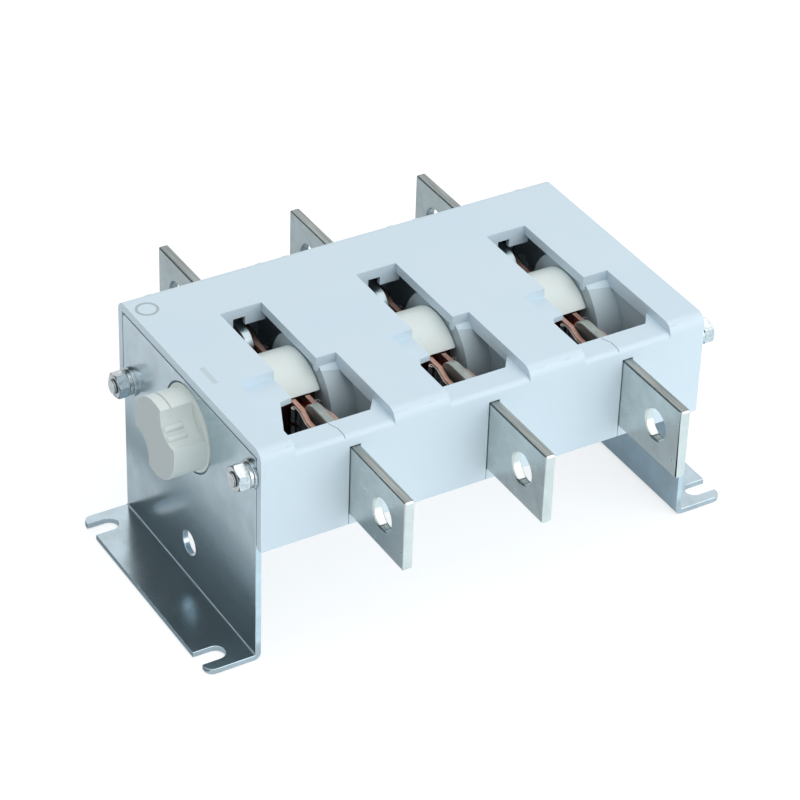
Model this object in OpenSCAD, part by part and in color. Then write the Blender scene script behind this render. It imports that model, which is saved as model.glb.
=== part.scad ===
// Three-pole rotary switch disconnector with visible contact break.
// Frame: +X along the shaft, away from the coupling; +Y to the rear; +Z up from the mounting plane.
// The shaft axis runs along X through Y = 0.

/* [Poles] */
// Distance between neighbouring poles
pole_pitch = 50; // [49.5:0.1:50.2]
// Place of the middle pole along X
pole_shift = 1.7; // [1.2:0.1:1.8]
// Depth of the shaft axis under the top face
shaft_depth = 20.5; // [20.3:0.1:20.6]

/* [Housing] */
// Length of the housing over its end walls
housing_l = 162; // [162:0.1:163]
// Depth of the housing from front to rear
housing_w = 97; // [97:0.1:98]
// Height of the top face over the mounting plane
housing_top = 82; // [82:0.1:82.4]
// Height of the housing from its lower edge to the top face
housing_h = 37.3; // [37.1:0.1:37.5]
// Thickness of the front and rear walls
wall_t = 2.5; // [2.3:0.1:2.6]
// Thickness of the top
top_t = 3.4; // [3.2:0.1:3.5]
// Radius of the long top edges
edge_r = 4; // [2:0.5:5]
// Depth of the pockets round the windows
pocket_d = 3.2; // [3:0.1:3.4]

/* [Brackets] */
// Thickness of the bracket sheet
sheet_t = 2; // [1.8:0.1:2.1]
// Gap round the bracket plate in its recess
edge_gap = 0.5; // [0.3:0.1:0.7]
// Reach of the foot from the outer face of the plate
foot_reach = 16.8; // [16:0.1:18]
// Distance from the side edge of the foot to the middle of a slot
slot_in = 7.3; // [7:0.1:8]
// Width of a foot slot
slot_w = 6.5; // [5.5:0.1:7]

/* [Terminals] */
// Thickness of a terminal bar
bar_t = 3.4; // [3.2:0.1:3.4]
// Height of a terminal bar
bar_h = 25.5; // [25:0.1:25.6]
// Reach of the bar tip from the shaft axis
bar_reach = 81.5; // [78:0.5:84]
// Diameter of the cable bolt hole
bar_hole_d = 11; // [9:0.5:12]
// Distance from the bar tip to the middle of the bolt hole
bar_hole_in = 13.35; // [12:0.05:15]

/* [Contacts] */
// Thickness of a jaw strip
strip_t = 1.6; // [1.5:0.1:1.6]
// Height of a jaw strip
strip_h = 5.6; // [5.2:0.1:5.8]
// Distance between the strips of one jaw, one above the other
strip_pitch = 6.4; // [6.2:0.1:6.5]
// Thickness of the moving blade
blade_t = 3.4; // [3.2:0.1:3.4]
// Radius of the moving blade's round ends
blade_r = 18.5; // [18:0.1:18.5]
// Height of the moving blade
blade_h = 13; // [12.6:0.1:13.4]

/* [Rotor] */
// Radius of a contact drum
drum_r = 16; // [15.5:0.1:16]
// Radius of the drum journals
journal_r = 9; // [8.5:0.1:9]
// Side of the square link shafts
shaft_side = 8; // [7.6:0.1:8]
// Radius of the coupling
coupling_r = 13.7; // [13.2:0.1:13.8]
// Length of the coupling outside the housing end
coupling_out = 11.7; // [10:0.1:13]

/* [Hidden] */
$fn = 64;
cut = 1;
poles = 3;

half_l = housing_l / 2;
half_w = housing_w / 2;
shaft_z = housing_top - shaft_depth;
housing_bottom = housing_top - housing_h;
function pole_x(k) = pole_shift + (k - 2) * pole_pitch;

// Ends of the housing: the plates lie in shallow recesses
recess_d = 1.95;
recess_rim = 3.1;
recess_side = 2.7;
end_in = half_l - recess_d - wall_t;
bracket_w = housing_w - 2 * recess_side - 2 * edge_gap;

// Drum and bearing walls along X, from the middle of the pole
drum_x0 = -6.7;
drum_x1 = 7.8;
hub_x0 = -12.5;
hub_x1 = 14.5;
bearing_play = 0.2;
left_wall_x0 = -9.9;
right_wall_x1 = 11.8;
journal_play = 0.05;
bearing_r = 20.3;
shield_t = 2.1;
left_wall_half = 13.5;
belly_in_r = 19.2;
belly_t = 2.2;
floor_t = 2.4;
floor_top = housing_bottom + floor_t;
part_gap = 0.15;

// Walls between the poles
partition_t = 2;
partition_left = -23.5;
partition_right = 16.8;
partition_slot_r = 9.8;

// Windows, from the middle of each pole: left and right edges of the front pockets
pocket_left = [-20.8, -16.2, -16.3];
pocket_right = [14, 13, 16.1];
window_left = -8.1;
window_right = 6.9;
window_rear = 25.1;
pocket_rear = -11.1;
ledge_w = 9;
ledge_t = 2;
ledge_r = 1.9;
tray_wall = 1.6;
skirt_h = 6.8;
skirt_notch = [-3.3, 1.1];

// Jaw contacts, from the middle of the pole along X and from the shaft axis along Y
jaw_gap = blade_t + 0.1;
packer_t = 1.5;
strip_in = bar_t / 2 + packer_t;
strip_out = strip_in + strip_t;
strip_tail = half_w - 8;
packer_tip = half_w - 16;
strip_bend = [packer_tip - 6, drum_r + 4];
strip_inset = strip_in - jaw_gap / 2;
jaw_trim_r = drum_r + 0.3;
nose_tip = blade_r + 0.3;
nose_corner_r = 6;
tip_corner_r = 0.8;
spring_t = 0.6;
spring_h = strip_h - 0.6;
curl_r = 0.9;
curl_reach = jaw_trim_r + curl_r + 0.05;
rivet_reach = half_w - 12;
rivet_r = 2;
rivet_head_r = 2.8;
rivet_head_t = 0.8;
hole_play = 0.05;
slot_play = 0.25;
thread_play = 0.1;
pin_reach = half_w - 5.3;
pin_r = 1.5;
pin_l = 8.8;

// Studs, nuts and washers that hold the brackets
stud_r = 2.5;
stud_y = [-half_w + 6.3, half_w - 8.5];
stud_z = [housing_top - 11, housing_top - 27];
washer_t = 1;
washer_r = 5;
spring_washer_t = 1.2;
spring_washer_r = 4.4;
nut_t = 4;
nut_af = 8;
stud_end = 1;
stud_in = 13;
boss_r = 4.5;
plate_out = half_l - recess_d + sheet_t;

// Coupling, its journal in the end wall and the ring that keeps it there
end_journal_r = 12;
end_journal_l = 9;
flange_r = 14.8;
flange_in = 1.8;
ring_r = 14.2;
ring_t = 1.2;
ring_gap = 6;
groove_r = 11;
ring_x = -end_in + 0.2;
shaft_end_gap = 3.8;

// Housing screws
screw_y = half_w - 18.5;
screw_x = [-half_l + 8.3, pole_x(1) + 22.6, pole_x(2) + 22.6, half_l - 8.3];
screw_r = 1.9;
screw_boss_r = 3.5;
screw_head_r = 3.8;
screw_head_t = 2;
screw_l = 14;

// Turns an outline in Y and Z into a solid that runs from x0 to x1
module along_x(x0, x1) {
    translate([x0, 0, 0]) rotate([90, 0, 90]) linear_extrude(x1 - x0) children();
}

// Turns an outline in X and Z into a solid that runs from y0 to y1
module along_y(y0, y1) {
    translate([0, y1, 0]) rotate([90, 0, 0]) linear_extrude(y1 - y0) children();
}

// Round bar along X
module rod_x(r, x0, x1, y = 0, z = shaft_z) {
    translate([x0, y, z]) rotate([0, 90, 0]) cylinder(r = r, h = x1 - x0);
}

// Block between two opposite corners
module block(from, to) {
    translate(from) cube(to - from);
}

// Rectangle between two opposite corners
module plate_2d(from, to) {
    translate(from) square(to - from);
}

// Rectangle with four round corners
module round_plate_2d(from, to, r) {
    plate_2d([from.x + r, from.y], [to.x - r, to.y]);
    plate_2d([from.x, from.y + r], [to.x, to.y - r]);
    for (x = [from.x + r, to.x - r], y = [from.y + r, to.y - r]) translate([x, y]) circle(r);
}

// Places its children once for each pole
module each_pole() {
    for (k = [1 : poles]) translate([pole_x(k), 0, 0]) children();
}

// Places its children at the front and, turned over, at the rear
module front_and_rear() {
    children();
    mirror([0, 1, 0]) children();
}

// Places its children at both studs of both ends
module each_stud() {
    for (end = [0, 1], i = [0, 1])
        mirror([end, 0, 0]) translate([-plate_out, stud_y[i], stud_z[i]]) rotate([0, 90, 0]) children();
}

// Outline of the cover across the shaft: square below, two round edges on top
module cover_outline() {
    plate_2d([-half_w, housing_bottom], [half_w, housing_top - edge_r]);
    plate_2d([-half_w + edge_r, housing_bottom], [half_w - edge_r, housing_top]);
    for (side = [-1, 1]) translate([side * (half_w - edge_r), housing_top - edge_r]) circle(edge_r);
}

// Plan of the deep opening of pole k: narrow over the drum, wide over the front jaws
module window_plan(k) {
    right = pocket_right[k - 1];
    slant = [[-18.9, -half_w + 11], [-12.3, -23], [window_left, -22.5]];
    intersection() {
        polygon(concat(
            [[window_left, window_rear], [window_right, window_rear], [window_right, pocket_rear],
             [right, pocket_rear], [right, -half_w + 14], [right - 3.7, -half_w + ledge_w],
             [slant[0].x, -half_w + ledge_w]], slant));
        plate_2d([pocket_left[k - 1], -half_w], [right, half_w]);
    }
}

// Turns its children over to the rear
module rear() {
    mirror([0, 1, 0]) children();
}

// Everything that the windows and pockets of pole k take out of the cover
module window_cut(k) {
    ledge_z = housing_top - pocket_d;
    left = pocket_left[k - 1];
    right = pocket_right[k - 1];
    block([left, -half_w - cut, ledge_z], [right, pocket_rear, housing_top + cut]);
    translate([0, 0, housing_top - skirt_h]) linear_extrude(skirt_h + cut) window_plan(k);
    along_x(left, right) difference() {
        plate_2d([-half_w - cut, ledge_z - ledge_r], [-half_w + ledge_r, ledge_z + cut]);
        translate([-half_w + ledge_r, ledge_z - ledge_r]) circle(ledge_r);
        plate_2d([-half_w + ledge_r, ledge_z - ledge_r], [-half_w + 2 * ledge_r, ledge_z + cut]);
    }
}

// Tray under the pocket of pole k, and the skirt behind its window
module window_tray(k) {
    tray_z = housing_top - pocket_d - ledge_t;
    block([pocket_left[k - 1] - tray_wall, -half_w + cut, tray_z],
          [pocket_right[k - 1] + tray_wall, pocket_rear + tray_wall, housing_top - top_t + cut]);
    difference() {
        block([window_left - tray_wall, window_rear, housing_top - skirt_h],
              [window_right + tray_wall, window_rear + tray_wall, housing_top - cut]);
        block([skirt_notch[0], window_rear - cut, housing_bottom],
              [skirt_notch[1], window_rear + 2 * tray_wall, housing_top - top_t - 0.2]);
    }
}

// Upper half of the bearing wall on the left of a drum
module upper_left_bearing() {
    along_x(left_wall_x0, drum_x0 - bearing_play)
        plate_2d([-left_wall_half, shaft_z + part_gap], [left_wall_half, housing_top - cut]);
}

// Upper half of the round bearing wall on the right of a drum, and the curved shield beside it
module upper_right_bearing() {
    along_x(drum_x1 + bearing_play, right_wall_x1) upper_disc();
    along_x(right_wall_x1 - cut, partition_right + cut) difference() {
        upper_disc();
        circle_at_shaft(bearing_r - shield_t);
    }
}

// Half disc over the shaft axis, as large as the bearing wall
module upper_disc() {
    intersection() {
        circle_at_shaft(bearing_r);
        plate_2d([-bearing_r, shaft_z + part_gap], [bearing_r, housing_top]);
    }
}

// Lower halves of the two bearing walls of a pole
module lower_bearings() {
    along_x(left_wall_x0, drum_x0 - bearing_play)
        plate_2d([-left_wall_half, housing_bottom], [left_wall_half, shaft_z]);
    along_x(drum_x1 + bearing_play, right_wall_x1) intersection() {
        circle_at_shaft(bearing_r);
        plate_2d([-bearing_r, housing_bottom - belly_t], [bearing_r, shaft_z]);
    }
}

// Circle round the shaft axis, in an outline across the shaft
module circle_at_shaft(r) {
    translate([0, shaft_z]) circle(r);
}

// Slot for one terminal in the front wall, open below
module terminal_slot(play) {
    block([-bar_t / 2 - play, -half_w - cut, housing_bottom - cut],
          [bar_t / 2 + play, -half_w + wall_t + cut, shaft_z + bar_h / 2 + play]);
}

// Shell of the cover with its inner walls and bosses
module cover_solid() {
    difference() {
        union() {
            difference() {
                along_x(-half_l, half_l) cover_outline();
                block([-end_in, -half_w + wall_t, housing_bottom - cut],
                      [end_in, half_w - wall_t, housing_top - top_t]);
            }
            for (k = [1 : poles]) translate([pole_x(k), 0, 0]) {
                window_tray(k);
                upper_left_bearing();
                for (x = [partition_left, partition_right]) partition(x);
            }
            for (x = screw_x, side = [-1, 1])
                translate([x, side * screw_y, floor_top + part_gap])
                    cylinder(r = screw_boss_r, h = housing_top - floor_top - top_t);
            for (end = [0, 1], i = [0, 1]) mirror([end, 0, 0])
                rod_x(boss_r, -end_in - cut, -plate_out + stud_in + 1, stud_y[i], stud_z[i]);
        }
        for (k = [1 : poles]) translate([pole_x(k), 0, 0]) window_cut(k);
    }
    each_pole() upper_right_bearing();
}

module housing_cover() color("#cfe1ea") difference() {
    cover_solid();
    each_pole() {
        front_and_rear() terminal_slot(slot_play);
        rod_x(journal_r + journal_play, left_wall_x0 - cut, right_wall_x1 + cut);
    }
    for (end = [0, 1]) mirror([end, 0, 0])
        block([-half_l - cut, -half_w + recess_side, housing_bottom - cut],
              [-half_l + recess_d, half_w - recess_side, housing_top - recess_rim]);
    rod_x(end_journal_r + journal_play, -half_l, -end_in + cut);
    each_stud() translate([0, 0, -cut]) cylinder(r = stud_r + hole_play, h = stud_in + 0.5 + cut);
    for (x = screw_x, side = [-1, 1])
        translate([x, side * screw_y, floor_top - cut]) cylinder(r = screw_r + thread_play, h = screw_l);
}

// Wall between two poles, open below round the shaft
module partition(x) {
    along_x(x, x + partition_t) difference() {
        plate_2d([-half_w + cut, floor_top + part_gap], [half_w - cut, housing_top - cut]);
        circle_at_shaft(partition_slot_r);
        plate_2d([-partition_slot_r, housing_bottom], [partition_slot_r, shaft_z]);
    }
}

// Two ears beside each terminal, which hold it by a cross pin
module terminal_ears() {
    for (side = [0, 1]) mirror([side, 0, 0])
        block([bar_t / 2 + hole_play, -half_w + wall_t + part_gap, housing_bottom],
              [bar_t / 2 + 2.8, -strip_tail - 0.4, shaft_z + 4.5]);
}

module housing_base() color("#c3d6e0") difference() {
    union() {
        block([-end_in + part_gap, -half_w + wall_t + part_gap, housing_bottom],
              [end_in - part_gap, half_w - wall_t - part_gap, floor_top]);
        each_pole() {
            along_x(left_wall_x0, right_wall_x1) intersection() {
                circle_at_shaft(belly_in_r + belly_t);
                plate_2d([-bearing_r, shaft_z - 30], [bearing_r, floor_top]);
            }
            lower_bearings();
            front_and_rear() {
                terminal_ears();
                block([-bar_t / 2, -half_w, housing_bottom],
                      [bar_t / 2, -half_w + wall_t + cut, shaft_z - bar_h / 2 - part_gap]);
            }
        }
    }
    each_pole() {
        rod_x(belly_in_r, drum_x0 - bearing_play, drum_x1 + bearing_play);
        rod_x(journal_r + journal_play, left_wall_x0 - cut, right_wall_x1 + cut);
        front_and_rear() rod_x(pin_r + hole_play, -5, 5, -pin_reach);
    }
    for (x = screw_x, side = [-1, 1]) translate([x, side * screw_y, housing_bottom - cut]) {
        cylinder(r = screw_r + 0.3, h = floor_t + 2 * cut);
        cylinder(r1 = screw_head_r + cut, r2 = screw_r, h = screw_head_t + cut + part_gap);
    }
}

// Rectangle from y0 up to y1 with its two upper corners round
module round_top_2d(half, y0, y1, r) {
    plate_2d([-half, y0], [half, y1 - r]);
    plate_2d([-half + r, y0], [half - r, y1]);
    for (side = [-1, 1]) translate([side * (half - r), y1 - r]) circle(r);
}

// Bent sheet bracket with its foot to the left: plate, bend and foot in one sheet
module bracket() {
    bend_r = 0.5;
    bend_x = -plate_out - bend_r;
    bend_z = sheet_t + bend_r;
    plate_top = housing_top - recess_rim - edge_gap;
    foot_x = -plate_out - foot_reach;
    half_b = bracket_w / 2;
    slot_depth = 6.35;
    side_hole_r = 4.4;
    side_hole_z = 16;
    difference() {
        union() {
            along_x(-plate_out, -plate_out + sheet_t)
                round_top_2d(half_b, bend_z, plate_top, 2);
            along_y(-half_b, half_b) intersection() {
                translate([bend_x, bend_z]) difference() {
                    circle(bend_r + sheet_t);
                    circle(bend_r);
                }
                plate_2d([bend_x, 0], [bend_x + bend_r + sheet_t, bend_z]);
            }
            linear_extrude(sheet_t) rotate(90) round_top_2d(half_b, -bend_x, -foot_x, 3);
        }
        rod_x(flange_r + 0.6, -plate_out - cut, -plate_out + sheet_t + cut);
        rod_x(side_hole_r, -plate_out - cut, -plate_out + sheet_t + cut, 0, side_hole_z);
        for (i = [0, 1])
            rod_x(stud_r + 0.25, -plate_out - cut, -plate_out + sheet_t + cut, stud_y[i], stud_z[i]);
        for (side = [-1, 1]) translate([foot_x + slot_depth, side * (half_b - slot_in), -cut]) {
            cylinder(d = slot_w, h = sheet_t + 2 * cut);
            translate([-foot_reach, -slot_w / 2, 0]) cube([foot_reach, slot_w, sheet_t + 2 * cut]);
        }
    }
}

module left_bracket() color("#b9c3c8") bracket();

module right_bracket() color("#b9c3c8") mirror([1, 0, 0]) bracket();

// Terminal bar of the front, with large round corners at its inner end
module terminal() color("#d9dcd6") difference() {
    along_x(-bar_t / 2, bar_t / 2) {
        round_plate_2d([-bar_reach, shaft_z - bar_h / 2], [-pin_reach, shaft_z + bar_h / 2], tip_corner_r);
        round_plate_2d([-strip_tail - bar_h / 2, shaft_z - bar_h / 2], [-nose_tip, shaft_z + bar_h / 2],
                       nose_corner_r);
    }
    rod_x(bar_hole_d / 2, -bar_t, bar_t, -bar_reach + bar_hole_in);
    rod_x(pin_r + hole_play, -bar_t, bar_t, -pin_reach);
    rivet_holes();
}

// The three rivet holes of a jaw
module rivet_holes() {
    for (row = [-1 : 1]) rod_x(rivet_r + hole_play, -10, 10, -rivet_reach, shaft_z + row * strip_pitch);
}

// Keeps the jaw clear of the drum and of the blade
module jaw_trim() {
    rod_x(jaw_trim_r, -10, 10);
}

// Strip outline in X and Y: straight at the rivets, bent inwards to the blade at its tip
module bent_strip_2d(x0, x1, tip) {
    polygon([
        [x0, -strip_tail], [x1, -strip_tail], [x1, -strip_bend[0]], [x1 - strip_inset, -strip_bend[1]],
        [x1 - strip_inset, -tip], [x0 - strip_inset, -tip], [x0 - strip_inset, -strip_bend[1]],
        [x0, -strip_bend[0]]]);
}

// Six copper strips of the front jaw, three on each side of the blade
module fingers() color("#b06a4a") difference() {
    for (row = [-1 : 1], side = [0, 1]) mirror([side, 0, 0])
        translate([0, 0, shaft_z + row * strip_pitch - strip_h / 2])
            linear_extrude(strip_h) bent_strip_2d(strip_in, strip_out, 0);
    jaw_trim();
    rivet_holes();
}

// Six flat steel springs of the front jaw, each with a curled end
module springs() color("#aeb4b6") {
    curl_x = strip_out - strip_inset + curl_r;
    for (row = [-1 : 1], side = [0, 1]) mirror([side, 0, 0]) {
        z = shaft_z + row * strip_pitch;
        difference() {
            translate([0, 0, z - spring_h / 2]) linear_extrude(spring_h) {
                bent_strip_2d(strip_out, strip_out + spring_t, curl_reach);
                translate([curl_x, -curl_reach]) difference() {
                    circle(curl_r);
                    circle(curl_r - spring_t);
                    plate_2d([-2 * curl_r, -2 * curl_r], [0, 0]);
                }
            }
            rod_x(rivet_r + hole_play, 0, 10, -rivet_reach, z);
        }
    }
}

// Packers between the terminals and the jaw strips, front and rear
module finger_packers() color("#b87a58") front_and_rear() difference() {
    for (side = [0, 1]) mirror([side, 0, 0])
        block([bar_t / 2, -strip_tail, shaft_z - strip_pitch - strip_h / 2],
              [strip_in, -packer_tip, shaft_z + strip_pitch + strip_h / 2]);
    rivet_holes();
}

// Rivets through each jaw, with a round head at both ends
module finger_rivets() color("#a9aeb0") front_and_rear() {
    head_x = strip_out + spring_t;
    for (row = [-1 : 1]) {
        z = shaft_z + row * strip_pitch;
        rod_x(rivet_r, -head_x, head_x, -rivet_reach, z);
        rod_x(rivet_head_r, -head_x - rivet_head_t, -head_x, -rivet_reach, z);
        rod_x(rivet_head_r, head_x, head_x + rivet_head_t, -rivet_reach, z);
    }
}

// Square room for a link shaft between x0 and x1
module square_socket(x0, x1) {
    side = shaft_side + 0.1;
    block([x0, -side / 2, shaft_z - side / 2], [x1, side / 2, shaft_z + side / 2]);
}

// Contact drum: a shell with two hollow mouths, two journals and a square socket in each
module drum() color("#f1efe6") {
    mouth_h = 18.8;
    mouth_reach = journal_r + 0.1;
    chamfer = 0.5;
    socket_end = 3.6;
    difference() {
        union() {
            rod_x(drum_r, drum_x0, drum_x1 - chamfer);
            translate([drum_x1 - chamfer, 0, shaft_z]) rotate([0, 90, 0])
                cylinder(r1 = drum_r, r2 = drum_r - chamfer, h = chamfer);
            rod_x(journal_r, hub_x0, hub_x1);
        }
        for (turn = [0, 180]) translate([0, 0, shaft_z]) rotate([turn, 0, 0])
            block([drum_x0 - cut, -drum_r - cut, -mouth_h / 2], [drum_x1 + cut, -mouth_reach, mouth_h / 2]);
        block([-blade_t / 2 - 0.05, -drum_r, shaft_z - blade_h / 2 - 0.05],
              [blade_t / 2 + 0.05, drum_r, shaft_z + blade_h / 2 + 0.05]);
        square_socket(hub_x0 - cut, -socket_end);
        square_socket(socket_end, hub_x1 + cut);
    }
}

// Moving copper blade through the drum, with round ends
module moving_blade() color("#b5603c") along_x(-blade_t / 2, blade_t / 2) intersection() {
    circle_at_shaft(blade_r);
    plate_2d([-blade_r, shaft_z - blade_h / 2], [blade_r, shaft_z + blade_h / 2]);
}

// Square steel shaft on the left of pole k
module link_shaft(k) color("#8d9396") {
    x0 = (k == 1) ? -half_l - 0.5 : pole_x(k - 1) + shaft_end_gap;
    block([x0, -shaft_side / 2, shaft_z - shaft_side / 2],
          [pole_x(k) - shaft_end_gap, shaft_side / 2, shaft_z + shaft_side / 2]);
}

// Shaft coupling: a round nylon knob with two opposite notches that take the handle shaft
module shaft_coupling() color("#e6e5dc") {
    notch_r = 7.5;
    notch_at = 16;
    notch_turn = -43;
    difference() {
        union() {
            rod_x(coupling_r, -half_l - coupling_out, -half_l + flange_in);
            rod_x(flange_r, -half_l + 0.1, -half_l + flange_in);
            rod_x(end_journal_r, -half_l, -half_l + end_journal_l);
        }
        for (turn = [0, 180]) translate([0, 0, shaft_z]) rotate([notch_turn + turn, 0, 0])
            translate([0, 0, -shaft_z]) rod_x(notch_r, -half_l - coupling_out - cut, -half_l - 0.5, notch_at);
        difference() {
            rod_x(end_journal_r + cut, ring_x - hole_play, ring_x + ring_t + hole_play);
            rod_x(groove_r, ring_x - cut, ring_x + ring_t + cut);
        }
        square_socket(-half_l - 1, -half_l + end_journal_l + cut);
    }
}

// Open ring that keeps the coupling in the end wall
module retaining_ring() color("#7d8386") difference() {
    rod_x(ring_r, ring_x, ring_x + ring_t);
    rod_x(groove_r + hole_play, ring_x - cut, ring_x + ring_t + cut);
    block([ring_x - cut, -ring_gap / 2, shaft_z], [ring_x + ring_t + cut, ring_gap / 2, shaft_z + ring_r + cut]);
}

module terminal_pins() color("#9aa0a3") each_pole() front_and_rear() rod_x(pin_r, -pin_l / 2, pin_l / 2, -pin_reach);

module fixing_studs() color("#c4cacc") each_stud()
    translate([0, 0, -washer_t - spring_washer_t - nut_t - stud_end])
        cylinder(r = stud_r, h = washer_t + spring_washer_t + nut_t + stud_end + stud_in);

module flat_washers() color("#c4cacc") each_stud() translate([0, 0, -washer_t]) difference() {
    cylinder(r = washer_r, h = washer_t);
    translate([0, 0, -cut]) cylinder(r = stud_r + 0.1, h = washer_t + 2 * cut);
}

module spring_washers() color("#b7bdbf") each_stud() translate([0, 0, -washer_t - spring_washer_t]) difference() {
    cylinder(r = spring_washer_r, h = spring_washer_t);
    translate([0, 0, -cut]) cylinder(r = stud_r + 0.1, h = spring_washer_t + 2 * cut);
    translate([0, -0.5, -cut]) cube([spring_washer_r + cut, 1, spring_washer_t + 2 * cut]);
}

// Round body with two chamfers that takes the corners off a nut
module nut_turning() {
    flat_r = nut_af / 2;
    corner_r = flat_r / cos(30) + 0.05;
    chamfer = (corner_r - flat_r) * tan(30);
    rotate_extrude() polygon([
        [0, 0], [flat_r, 0], [corner_r, chamfer],
        [corner_r, nut_t - chamfer], [flat_r, nut_t], [0, nut_t]]);
}

module hex_nuts() color("#cdd3d4") each_stud()
    translate([0, 0, -washer_t - spring_washer_t - nut_t]) difference() {
        intersection() {
            rotate(30) cylinder(d = nut_af / cos(30), h = nut_t, $fn = 6);
            nut_turning();
        }
        translate([0, 0, -cut]) cylinder(r = stud_r + hole_play, h = nut_t + 2 * cut);
    }

module housing_screws() color("#a9afb1") for (x = screw_x, side = [-1, 1])
    translate([x, side * screw_y, housing_bottom + 0.05]) {
        cylinder(r1 = screw_head_r, r2 = screw_r, h = screw_head_t);
        cylinder(r = screw_r, h = screw_l);
    }

housing_base();
housing_cover();
left_bracket();
right_bracket();
for (k = [1 : poles]) {
    translate([pole_x(k), 0, 0]) terminal();
    translate([pole_x(k), 0, 0]) fingers();
    translate([pole_x(k), 0, 0]) springs();
    translate([pole_x(k), 0, 0]) rear() terminal();
    translate([pole_x(k), 0, 0]) rear() fingers();
    translate([pole_x(k), 0, 0]) rear() springs();
    translate([pole_x(k), 0, 0]) finger_packers();
    translate([pole_x(k), 0, 0]) finger_rivets();
    translate([pole_x(k), 0, 0]) drum();
    translate([pole_x(k), 0, 0]) moving_blade();
    link_shaft(k);
}
shaft_coupling();
retaining_ring();
terminal_pins();
fixing_studs();
flat_washers();
spring_washers();
hex_nuts();
housing_screws();
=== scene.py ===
import math
import bmesh
import bpy
from mathutils import Matrix, Vector


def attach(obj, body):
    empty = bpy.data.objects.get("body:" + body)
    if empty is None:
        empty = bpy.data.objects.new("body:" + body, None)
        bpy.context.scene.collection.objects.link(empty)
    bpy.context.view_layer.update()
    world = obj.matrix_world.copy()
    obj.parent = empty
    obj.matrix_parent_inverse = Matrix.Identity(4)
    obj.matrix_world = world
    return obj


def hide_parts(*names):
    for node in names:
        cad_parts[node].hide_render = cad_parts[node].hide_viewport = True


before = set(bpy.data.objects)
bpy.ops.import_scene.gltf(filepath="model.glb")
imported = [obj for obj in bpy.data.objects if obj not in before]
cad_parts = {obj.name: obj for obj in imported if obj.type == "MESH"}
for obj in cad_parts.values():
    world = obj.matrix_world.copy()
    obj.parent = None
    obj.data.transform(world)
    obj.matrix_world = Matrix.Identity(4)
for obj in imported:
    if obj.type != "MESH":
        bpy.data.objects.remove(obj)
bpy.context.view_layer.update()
scene = bpy.context.scene
scene.view_settings.view_transform = "Standard"

# Camera
# Long lens in front of the coupling end, a little over the top of the switch.
# Direction and distance come from the run of the housing's edges in the photograph.
MM = 0.001
azimuth = math.radians(-31.424)
elevation = math.radians(34.877)
roll = math.radians(1.917)
focal_pixels = 3194.5
frame_pixels = 800
sensor_width = 36
camera_place = Vector((-450.2, -731.5, 644.1)) * MM
forward = Vector((-math.sin(azimuth) * math.cos(elevation),
                  math.cos(azimuth) * math.cos(elevation),
                  -math.sin(elevation)))
level_right = forward.cross(Vector((0, 0, 1))).normalized()
level_up = level_right.cross(forward)
right = math.cos(roll) * level_right + math.sin(roll) * level_up
up = math.cos(roll) * level_up - math.sin(roll) * level_right
camera_data = bpy.data.cameras.new("camera")
camera_data.sensor_width = sensor_width
camera_data.lens = focal_pixels / frame_pixels * sensor_width
camera = bpy.data.objects.new("camera", camera_data)
scene.collection.objects.link(camera)
camera_turn = Matrix((right, up, -forward)).transposed().to_4x4()
camera.matrix_world = Matrix.Translation(camera_place) @ camera_turn
scene.camera = camera


# Studio
# Pale floor, white surroundings and three soft lamps. The floor keeps the switch's shadow.
# Three cards that only reflections see give the plated sheet and the bars their tones.
def hex_linear(code):
    channels = [int(code[i:i + 2], 16) / 255 for i in (1, 3, 5)]
    return tuple(c / 12.92 if c <= 0.04045 else ((c + 0.055) / 1.055) ** 2.4 for c in channels) + (1.0,)


def add_node(tree, kind, settings=None, links=None):
    node = tree.nodes.new(kind)
    for name, value in (settings or {}).items():
        if name in node.inputs:
            node.inputs[name].default_value = value
        else:
            setattr(node, name, value)
    for name, source in (links or {}).items():
        tree.links.new(source, node.inputs[name])
    return node


def new_material(name):
    material = bpy.data.materials.new(name)
    material.use_nodes = True
    material.node_tree.nodes.clear()
    return material, material.node_tree


def deselect_all():
    bpy.ops.object.select_all(action="DESELECT")


# Matt white board to the light, and nearly white to the camera, where only the shadow tones it.
floor_paint, tree = new_material("pale_studio_floor")
path = add_node(tree, "ShaderNodeLightPath")
seen = add_node(tree, "ShaderNodeMath", {"operation": "MAXIMUM"})
tree.links.new(path.outputs["Is Camera Ray"], seen.inputs[0])
tree.links.new(path.outputs["Is Transmission Ray"], seen.inputs[1])
matt = add_node(tree, "ShaderNodeBsdfDiffuse", {"Color": hex_linear("#F4F6F7")})
shadow_catch = add_node(tree, "ShaderNodeBsdfDiffuse", {"Color": hex_linear("#A8ACAE")})
glow = add_node(tree, "ShaderNodeEmission", {"Color": (1, 1, 1, 1), "Strength": 0.72})
seen_floor = add_node(tree, "ShaderNodeAddShader")
tree.links.new(shadow_catch.outputs[0], seen_floor.inputs[0])
tree.links.new(glow.outputs[0], seen_floor.inputs[1])
mixed = add_node(tree, "ShaderNodeMixShader", links={0: seen.outputs[0]})
tree.links.new(matt.outputs[0], mixed.inputs[1])
tree.links.new(seen_floor.outputs[0], mixed.inputs[2])
add_node(tree, "ShaderNodeOutputMaterial", links={"Surface": mixed.outputs[0]})
deselect_all()
bpy.ops.mesh.primitive_plane_add(size=8, location=(0, 0, -0.2 * MM))
floor = bpy.context.object
floor.name = "studio_floor"
floor.data.materials.append(floor_paint)

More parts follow.
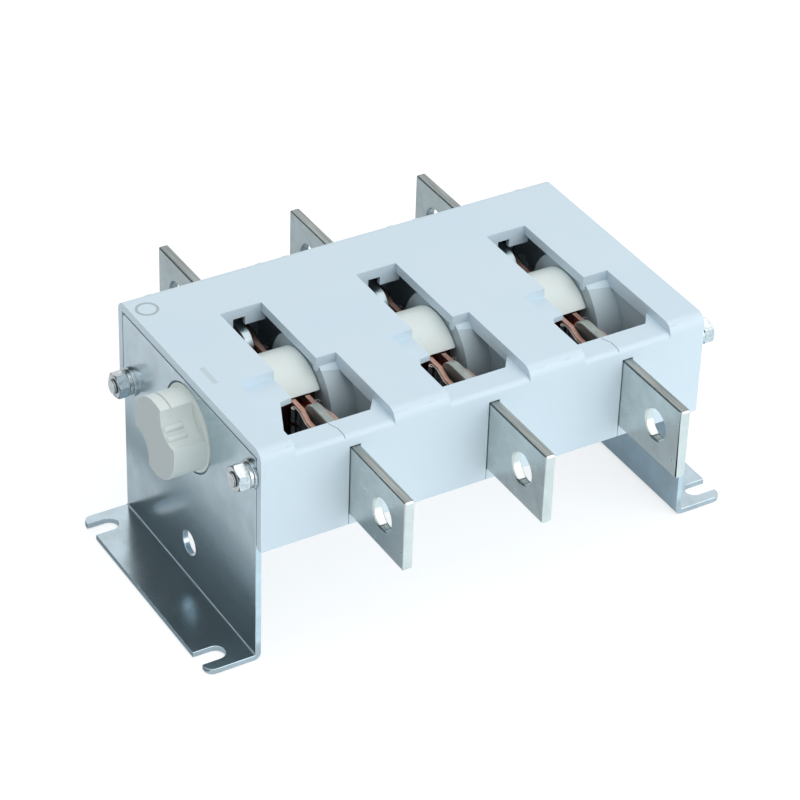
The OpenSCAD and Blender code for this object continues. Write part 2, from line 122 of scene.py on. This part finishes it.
world = bpy.data.worlds.new("studio")
scene.world = world
world.use_nodes = True
tree = world.node_tree
tree.nodes.clear()
path = add_node(tree, "ShaderNodeLightPath")
glossy = add_node(tree, "ShaderNodeMath", {"operation": "MAXIMUM"})
tree.links.new(path.outputs["Is Camera Ray"], glossy.inputs[0])
tree.links.new(path.outputs["Is Glossy Ray"], glossy.inputs[1])
bright = add_node(tree, "ShaderNodeMath", {"operation": "MAXIMUM"})
tree.links.new(glossy.outputs[0], bright.inputs[0])
tree.links.new(path.outputs["Is Transmission Ray"], bright.inputs[1])
strength = add_node(tree, "ShaderNodeMapRange", {"To Min": 0.5, "To Max": 1.0}, {"Value": bright.outputs[0]})
sky = add_node(tree, "ShaderNodeBackground", {"Color": (1, 1, 1, 1)}, {"Strength": strength.outputs[0]})
add_node(tree, "ShaderNodeOutputWorld", links={"Surface": sky.outputs[0]})


def add_lamp(name, place, size, watts):
    data = bpy.data.lights.new(name, "AREA")
    data.shape = "SQUARE"
    data.size = size
    data.energy = watts
    lamp = bpy.data.objects.new(name, data)
    scene.collection.objects.link(lamp)
    lamp.location = place
    aim = Vector((0, 0, 0.05)) - Vector(place)
    lamp.rotation_euler = aim.to_track_quat("-Z", "Y").to_euler()


add_lamp("top_softbox", (0.15, -0.2, 1.3), 1.5, 5.6)
add_lamp("front_softbox", (0.5, -1.2, 0.6), 1.6, 12)
add_lamp("rear_softbox", (-0.3, 1.1, 0.9), 0.6, 3)


def add_card(name, place, width, depth, turn, shader, settings):
    paint, tree = new_material(name)
    surface = add_node(tree, shader, settings)
    add_node(tree, "ShaderNodeOutputMaterial", links={"Surface": surface.outputs[0]})
    deselect_all()
    bpy.ops.mesh.primitive_plane_add(size=1, location=place, rotation=turn)
    card = bpy.context.object
    card.scale = (width, depth, 1)
    card.name = name
    card.data.materials.append(paint)
    card.visible_camera = False
    card.visible_diffuse = False
    card.visible_shadow = False


facing_switch = Vector((0.55, -0.9, -0.75)).to_track_quat("Z", "Y").to_euler()
add_card("dark_card", (-0.55, 0.9, 0.75), 1.0, 1.0, facing_switch, "ShaderNodeBsdfDiffuse",
         {"Color": hex_linear("#272D2C")})
# Grey strip on the floor beside the left foot: painted shade, standing in for the shaded floor there, which
# the plated sheet mirrors just above its foot.
add_card("painted_floor_shade_card", (-0.1025, 0.04, 0.0003), 0.009, 0.2, (0, 0, 0), "ShaderNodeEmission",
         {"Color": hex_linear("#8B979C"), "Strength": 1.0})
add_card("white_card", (0.25, -0.402, 0.0004), 0.7, 0.7, (0, 0, 0), "ShaderNodeEmission",
         {"Color": hex_linear("#EAF6FC"), "Strength": 1.3})


# Housing cover and base
# Two mouldings in pale blue-grey glass-filled polyamide with a fine satin surface,
# whose edges all have the small radius of a moulding tool. The base closes the cover from below.
def soft_edged(node, width, segments=2, clamp=True):
    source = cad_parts[node]
    piece = bpy.data.objects.new(node + "_finished", source.data.copy())
    scene.collection.objects.link(piece)
    deselect_all()
    piece.select_set(True)
    bpy.context.view_layer.objects.active = piece
    bpy.ops.object.mode_set(mode="EDIT")
    bpy.ops.mesh.select_all(action="SELECT")
    bpy.ops.mesh.remove_doubles(threshold=0.002 * MM)
    bpy.ops.mesh.dissolve_limited(angle_limit=math.radians(0.4))
    bpy.ops.object.mode_set(mode="OBJECT")
    bpy.ops.object.shade_smooth_by_angle(angle=math.radians(30))
    bevel = piece.modifiers.new("edge_radius", "BEVEL")
    bevel.width = width * MM
    bevel.segments = segments
    bevel.limit_method = "ANGLE"
    bevel.angle_limit = math.radians(30)
    bevel.use_clamp_overlap = clamp
    bevel.harden_normals = True
    bpy.ops.object.modifier_apply(modifier=bevel.name)
    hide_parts(node)
    return piece


def moulded(name, code, grain_mm=0.25, roughness=0.42, tint="#FFFFFF", bump=0.25):
    material, tree = new_material(name)
    place = add_node(tree, "ShaderNodeTexCoord")
    cloud = add_node(tree, "ShaderNodeTexNoise", {"Scale": 1 / (30 * MM), "Detail": 2.0},
                     {"Vector": place.outputs["Object"]})
    shade = add_node(tree, "ShaderNodeMapRange", {"To Min": 0.0, "To Max": 0.10},
                     {"Value": cloud.outputs["Fac"]})
    colour = add_node(tree, "ShaderNodeMix", {"data_type": "RGBA"})
    colour.inputs[6].default_value = hex_linear(code)
    colour.inputs[7].default_value = hex_linear(tint)
    tree.links.new(shade.outputs[0], colour.inputs[0])
    grain = add_node(tree, "ShaderNodeTexNoise", {"Scale": 1 / (grain_mm * MM), "Detail": 3.0},
                     {"Vector": place.outputs["Object"]})
    rough = add_node(tree, "ShaderNodeMapRange", {"To Min": roughness - 0.05, "To Max": roughness + 0.05},
                     {"Value": grain.outputs["Fac"]})
    relief = add_node(tree, "ShaderNodeBump", {"Strength": bump, "Distance": 0.02 * MM},
                      {"Height": grain.outputs["Fac"]})
    skin = add_node(tree, "ShaderNodeBsdfPrincipled", {"IOR": 1.5},
                    {"Base Color": colour.outputs[2], "Roughness": rough.outputs[0],
                     "Normal": relief.outputs[0]})
    add_node(tree, "ShaderNodeOutputMaterial", links={"Surface": skin.outputs[0]})
    return material


def finish_with(piece, material):
    piece.data.materials.clear()
    piece.data.materials.append(material)


def finish_faces(piece, material, chosen):
    number = len(piece.data.materials)
    piece.data.materials.append(material)
    for face in piece.data.polygons:
        if chosen(face.center / MM, face.normal):
            face.material_index = number


# Glass-filled polyamide: pale, even, with a soft sheen over the fine grain of the tool.
polyamide = moulded("satin_blue_grey_polyamide", "#C8DCE8")
# The same polyamide round the contacts, painted greyer and darker as shade, so the recesses look deeper.
recess_shade_polyamide = moulded("painted_recess_shade_polyamide", "#B4C4CB", tint="#D4E0E6")


# Inner faces of the pole recesses below the top, which take the painted shade.
def in_recess(place, normal):
    between_walls = -39 < place.y < 24.9 and abs(place.x) < 78
    return between_walls and 20 < place.z < 77 and normal.z < 0.9


cover = soft_edged("housing_cover", 0.35)
finish_with(cover, polyamide)
# Painted shade on the recess walls of the cover.
finish_faces(cover, recess_shade_polyamide, in_recess)
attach(cover, "housing")
finish_with(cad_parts["housing_base"], polyamide)


# Marks and seams of the cover
# Grey printed ring and bar for the two switch positions, and the fine parting seam of the
# moulding that crosses the front ledges of the first and the last pole.
def flat_mark(name, material):
    mark = bpy.context.object
    mark.name = name
    bpy.ops.object.mode_set(mode="EDIT")
    bpy.ops.mesh.select_all(action="SELECT")
    bpy.ops.mesh.normals_make_consistent(inside=False)
    bpy.ops.object.mode_set(mode="OBJECT")
    bpy.ops.object.transform_apply(location=True, rotation=True, scale=True)
    finish_with(mark, material)
    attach(mark, "housing")


# Pad-printed ink, a little duller than the moulding: the ring is full, the bar is worn paler.
print_ink = moulded("grey_pad_print", "#A3B2B7", 0.3, 0.5, "#C8D6DC", 0.1)
faded_ink = moulded("faded_pad_print", "#BFCFD7", 0.3, 0.5, "#C8D6DC", 0.1)
# Shade in the parting seam, which reads as a hair line.
seam_shade = moulded("seam_shadow", "#7C8A90", 0.3, 0.6, "#7C8A90", 0.1)
top_z = 82 * MM
deselect_all()
bpy.ops.mesh.primitive_torus_add(major_radius=3.45 * MM, minor_radius=0.48 * MM, major_segments=64,
                                 minor_segments=8, location=(-75.5 * MM, 38.6 * MM, top_z))
bpy.ops.transform.resize(value=(1, 1, 0.1), center_override=(0, 0, top_z))
flat_mark("position_ring", print_ink)
bar_place = (-75.4 * MM, -3.9 * MM, top_z)
deselect_all()
bpy.ops.mesh.primitive_cube_add(size=1, location=bar_place)
bpy.ops.transform.resize(value=(1.7 * MM, 9.6 * MM, 0.08 * MM), center_override=bar_place)
bpy.ops.object.transform_apply(location=True, rotation=True, scale=True)
worn = bpy.context.object.modifiers.new("soft_corners", "BEVEL")
worn.width = 0.4 * MM
worn.segments = 4
worn.limit_method = "ANGLE"
bpy.ops.object.modifier_apply(modifier=worn.name)
flat_mark("position_bar", faded_ink)
for number, seam_x in ((1, -51.8), (3, 48.2)):
    over_seam = (seam_x * MM, -44.05 * MM, 84 * MM)
    deselect_all()
    bpy.ops.mesh.primitive_grid_add(x_subdivisions=1, y_subdivisions=40, size=1, location=over_seam)
    seam = bpy.context.object
    bpy.ops.transform.resize(value=(0.26 * MM, 8.4 * MM, 1), center_override=over_seam)
    bpy.ops.object.transform_apply(location=True, rotation=True, scale=True)
    # Its rear end turns to the left in five small steps.
    bpy.ops.object.mode_set(mode="EDIT")
    form = bmesh.from_edit_mesh(seam.data)
    for bend_y in (-43.2, -42.6, -42, -41.4, -40.8):
        for vertex in form.verts:
            vertex.select = vertex.co.y > bend_y * MM
        bmesh.update_edit_mesh(seam.data)
        bpy.ops.transform.translate(value=(-0.24 * MM, 0, 0))
    bpy.ops.object.mode_set(mode="OBJECT")
    lay = seam.modifiers.new("laid_on_cover", "SHRINKWRAP")
    lay.target = cover
    lay.wrap_method = "PROJECT"
    lay.use_project_z = True
    lay.use_positive_direction = False
    lay.use_negative_direction = True
    lay.offset = 0.03 * MM
    bpy.ops.object.modifier_apply(modifier=lay.name)
    depth = seam.modifiers.new("seam_depth", "SOLIDIFY")
    depth.thickness = 0.06 * MM
    bpy.ops.object.modifier_apply(modifier=depth.name)
    flat_mark(f"ledge_seam_{number}", seam_shade)


# Side brackets
# Pressed from 2 mm steel sheet with the foot bent outwards, then bright zinc plated.
# A stud and nut at the front and another at the rear hold each one to the housing's end wall.
def plated(name, bright, dull, roughness, cloud_mm, relief_strength=0.12, along=(1, 1, 1)):
    material, tree = new_material(name)
    place = add_node(tree, "ShaderNodeTexCoord")
    rolled = add_node(tree, "ShaderNodeMapping", {"Scale": along}, {"Vector": place.outputs["Object"]})
    cloud = add_node(tree, "ShaderNodeTexNoise",
                     {"Scale": 1 / (cloud_mm * MM), "Detail": 5.0, "Roughness": 0.6},
                     {"Vector": rolled.outputs[0]})
    patch = add_node(tree, "ShaderNodeMapRange", {"From Min": 0.35, "From Max": 0.7},
                     {"Value": cloud.outputs["Fac"]})
    colour = add_node(tree, "ShaderNodeMix", {"data_type": "RGBA"})
    colour.inputs[6].default_value = hex_linear(bright)
    colour.inputs[7].default_value = hex_linear(dull)
    tree.links.new(patch.outputs[0], colour.inputs[0])
    grain = add_node(tree, "ShaderNodeTexNoise", {"Scale": 1 / (0.5 * MM), "Detail": 3.0},
                     {"Vector": place.outputs["Object"]})
    rough = add_node(tree, "ShaderNodeMapRange", {"To Min": roughness - 0.05, "To Max": roughness + 0.07},
                     {"Value": cloud.outputs["Fac"]})
    relief = add_node(tree, "ShaderNodeBump", {"Strength": relief_strength, "Distance": 0.01 * MM},
                      {"Height": grain.outputs["Fac"]})
    skin = add_node(tree, "ShaderNodeBsdfPrincipled", {"Metallic": 1.0},
                    {"Base Color": colour.outputs[2], "Roughness": rough.outputs[0],
                     "Normal": relief.outputs[0]})
    add_node(tree, "ShaderNodeOutputMaterial", links={"Surface": skin.outputs[0]})
    return material


# Zinc plated steel sheet: cool grey, a soft mirror with faint clouds 9 mm across.
zinc_sheet = plated("bright_zinc_plated_sheet", "#C3D5DF", "#B6C6CE", 0.2, 9, 0.15)
for side in ("left", "right"):
    bracket = soft_edged(side + "_bracket", 0.2)
    finish_with(bracket, zinc_sheet)
    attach(bracket, "housing")

# Bracket fixings
# Zinc plated M5 studs with a flat washer, a spring washer and a hex nut at each place,
# and the housing screws. Each nut stands at the angle at which it came tight.

# Zinc plated small parts: bright facets, a little duller in patches of 2 mm.
zinc_small = plated("bright_zinc_plated_fasteners", "#D3DADC", "#AAB3B7", 0.2, 2)
# Chamfer of a nut, painted dark as the dark reflection that runs round its edges.
nut_chamfer_dark_reflection = plated("painted_dark_reflection_nut_chamfer", "#5A676D", "#414C51", 0.3, 2)
# Rolled thread of 0.8 mm pitch, a bump of rings along the stud, with a painted highlight on the crests and
# painted shade in the roots.
thread_pitch = 0.8
thread_light_and_shade, tree = new_material("zinc_thread_painted_light_and_shade")
place = add_node(tree, "ShaderNodeTexCoord")
turns = add_node(tree, "ShaderNodeTexWave", {"Scale": 0.314 / (thread_pitch * MM), "bands_direction": "X"},
                 {"Vector": place.outputs["Object"]})
flank = add_node(tree, "ShaderNodeMix", {"data_type": "RGBA"})
flank.inputs[6].default_value = hex_linear("#4C565A")
flank.inputs[7].default_value = hex_linear("#B4BDC0")
tree.links.new(turns.outputs["Fac"], flank.inputs[0])
ridges = add_node(tree, "ShaderNodeBump", {"Strength": 0.6, "Distance": 0.3 * MM},
                  {"Height": turns.outputs["Fac"]})
skin = add_node(tree, "ShaderNodeBsdfPrincipled", {"Metallic": 1.0, "Roughness": 0.28},
                {"Base Color": flank.outputs[2], "Normal": ridges.outputs[0]})
add_node(tree, "ShaderNodeOutputMaterial", links={"Surface": skin.outputs[0]})
nut_turns = ((34, -42.2, 71), (14, 40, 55))
for node in ("fixing_studs", "flat_washers", "spring_washers", "hex_nuts", "housing_screws"):
    part = soft_edged(node, 0.12)
    finish_with(part, zinc_small)
    if node == "fixing_studs":
        # Painted light and shade of the thread on the stud's round faces.
        finish_faces(part, thread_light_and_shade, lambda place, normal: abs(normal.x) < 0.3)
    if node == "hex_nuts":
        # Painted dark reflection on the nut's chamfer faces.
        finish_faces(part, nut_chamfer_dark_reflection, lambda place, normal: 0.35 < abs(normal.x) < 0.97)
        bpy.ops.object.mode_set(mode="EDIT")
        form = bmesh.from_edit_mesh(part.data)
        for turn, nut_y, nut_z in nut_turns:
            for vertex in form.verts:
                vertex.select = abs(vertex.co.y - nut_y * MM) < 8 * MM
            form.select_flush(True)
            bmesh.update_edit_mesh(part.data)
            bpy.ops.transform.rotate(value=math.radians(turn), orient_axis="X",
                                     center_override=(0, nut_y * MM, nut_z * MM))
        bpy.ops.object.mode_set(mode="OBJECT")
    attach(part, "housing")

# Terminals
# Flat copper bars with a bright tin plating, punched for the cable bolt. Their long edges are
# sheared: duller, streaked along the bar, with a dark line at the upper corners. The noses are dull.

# Tin over copper: warm grey, a soft mirror with clouds 6 mm across.
tin = plated("bright_tin_on_copper", "#D3D9D7", "#C6CCCA", 0.28, 6, 0.2)
# The same tin on the rear bars, painted greyer and darker as shade.
rear_shaded_tin = plated("tin_painted_shade_on_rear_bars", "#ADBBBF", "#A0ADB1", 0.3, 6, 0.2)
# Sheared edge: streaks 0.8 mm apart that run along the bar.
sheared_tin = plated("sheared_edge_under_tin", "#A9B0AE", "#7F8786", 0.4, 0.8, 0.35, (1, 0.04, 1))
# Corner that the shear rolled over, seen as a dark line.
corner_line = plated("dark_sheared_corner", "#6C7476", "#4A5255", 0.4, 2)
# Nose between the jaw strips, rubbed dull.
dull_tin = plated("dull_tin_on_nose", "#A6AEAA", "#8E9693", 0.5, 3)


def on_upper_edge(place, normal):
    return normal.z > 0.98 and abs(place.y) > 45


def on_upper_corner(place, normal):
    return 0.2 < normal.z < 0.98 and abs(normal.y) < 0.3 and abs(place.y) > 45


for k in (1, 2, 3):
    for side in ("front", "rear"):
        bar = soft_edged(f"{side}_terminal_{k}", 0.6, segments=4, clamp=False)
        bpy.ops.object.mode_set(mode="EDIT")
        for cut_y in (-46, -39, 39, 46):
            bpy.ops.mesh.select_all(action="SELECT")
            bpy.ops.mesh.bisect(plane_co=(0, cut_y * MM, 0), plane_no=(0, 1, 0))
        bpy.ops.object.mode_set(mode="OBJECT")
        # The rear bars take the tin with painted shade.
        finish_with(bar, rear_shaded_tin if side == "rear" else tin)
        finish_faces(bar, sheared_tin, on_upper_edge)
        finish_faces(bar, corner_line, on_upper_corner)
        finish_faces(bar, dull_tin, lambda place, normal: -39 < place.y < 0)
        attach(bar, "housing")

# Jaw contacts
# Rolled copper strips, stacked and riveted to the terminal noses, with flat steel springs outside.
# The blade that they grip, and the square shafts that turn it, are finished with them.

# Bare rolled copper: pale pink, dull between its clouds.
copper = plated("bare_rolled_copper", "#CFA597", "#B48C7E", 0.36, 3)
# Drawn copper of the blade, pushed to a deep red: its own copper tone with a painted red glow of the light
# that bounces between the copper strips.
blade_copper_and_glow = plated("copper_blade_with_painted_glow", "#D0553A", "#A33B25", 0.3, 3)
# Polished spring steel: warm grey with bright edges.
spring_steel = plated("polished_spring_steel", "#A8A29D", "#8C857F", 0.26, 2)
for k in (1, 2, 3):
    for side in ("front", "rear"):
        finish_with(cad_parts[f"{side}_fingers_{k}"], copper)
        finish_with(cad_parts[f"{side}_springs_{k}"], spring_steel)
    finish_with(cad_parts[f"finger_packers_{k}"], copper)
    finish_with(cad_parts[f"finger_rivets_{k}"], spring_steel)
    # The blade carries the painted red glow.
    finish_with(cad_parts[f"moving_blade_{k}"], blade_copper_and_glow)
    finish_with(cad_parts[f"link_shaft_{k}"], spring_steel)
for node in ("terminal_pins", "retaining_ring"):
    finish_with(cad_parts[node], spring_steel)

# Drums
# Moulded in natural nylon, turned by the square shafts. Each has a mouth at the front and one at
# the rear for its blade, and the walls of the mouths are painted dark brown as shade.
shaft_height = 61.5
mouth_reach = 15.4

# Natural nylon: milky white and slightly green in the shade.
nylon = moulded("natural_nylon", "#D6E1DF", 0.4, 0.36, "#FFFFFF", 0.15)
# Nylon of the mouths, painted dark brown as shade, nearly black in the depth.
mouth_shade_nylon = moulded("painted_mouth_shade_nylon", "#3A241D", 0.4, 0.6, "#6B4A3E", 0.15)


def in_mouth(place, normal):
    return abs(normal.x) < 0.9 and math.hypot(place.y, place.z - shaft_height) < mouth_reach


for k in (1, 2, 3):
    drum = soft_edged(f"drum_{k}", 0.3)
    finish_with(drum, nylon)
    # Painted shade on the walls of the mouths.
    finish_faces(drum, mouth_shade_nylon, in_mouth)
    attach(drum, "rotor")

# Shaft coupling
# Nylon knob that comes out through the left plate, with two opposite notches for the handle's claw.
# A fine groove crosses its crown behind the end face, and two ribs stand in each notch.

# End face of the knob, painted greyer and darker as shade on the face turned away from the lamps, matt
# beside the moulded skin.
knob_end_shade_nylon = moulded("painted_shade_nylon_knob_end", "#BBC7C9", 0.4, 0.5, "#C8D0D2", 0.2)
shaft_z = shaft_height * MM
groove_x = -89.05 * MM
knob = soft_edged("shaft_coupling", 0.6)
bpy.ops.object.mode_set(mode="EDIT")
for beside in (-0.3, -0.15, 0.15, 0.3):
    bpy.ops.mesh.select_all(action="SELECT")
    bpy.ops.mesh.bisect(plane_co=(groove_x + beside * MM, 0, 0), plane_no=(1, 0, 0))
form = bmesh.from_edit_mesh(knob.data)
for vertex in form.verts:
    on_crown = abs(vertex.co.z - shaft_z) > 10 * MM
    vertex.select = on_crown and abs(vertex.co.x - groove_x) < 0.2 * MM
form.select_flush(True)
bmesh.update_edit_mesh(knob.data)
bpy.ops.transform.resize(value=(1, 0.955, 0.955), center_override=(0, 0, shaft_z))
bpy.ops.mesh.customdata_custom_splitnormals_clear()
bpy.ops.object.mode_set(mode="OBJECT")
bpy.ops.object.shade_smooth_by_angle(angle=math.radians(35))
finish_with(knob, nylon)
# Painted shade on the knob's end face.
finish_faces(knob, knob_end_shade_nylon, lambda place, normal: normal.x < -0.95 and place.x < -90)
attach(knob, "rotor")
notch_r = 7.5 * MM
notch_out = 16 * MM
for notch in (0, 1):
    toward_notch = math.radians(137 + 180 * notch)
    for rib, offset in ((1, -20), (2, 6)):
        toward_shaft = toward_notch + math.pi + math.radians(offset)
        rib_y = notch_out * math.cos(toward_notch) + notch_r * math.cos(toward_shaft)
        rib_z = notch_out * math.sin(toward_notch) + notch_r * math.sin(toward_shaft)
        deselect_all()
        bpy.ops.mesh.primitive_cylinder_add(vertices=32, radius=1.1 * MM, depth=7 * MM,
                                            rotation=(0, math.radians(90), 0),
                                            location=(-88.9 * MM, rib_y, shaft_z + rib_z))
        ridge = bpy.context.object
        ridge.name = f"knob_rib_{notch + 1}_{rib}"
        bpy.ops.object.transform_apply(location=True, rotation=True, scale=True)
        round_end = ridge.modifiers.new("round_end", "BEVEL")
        round_end.width = 0.6 * MM
        round_end.segments = 4
        round_end.limit_method = "ANGLE"
        bpy.ops.object.modifier_apply(modifier=round_end.name)
        bpy.ops.object.shade_smooth_by_angle(angle=math.radians(40))
        finish_with(ridge, nylon)
        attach(ridge, "rotor")
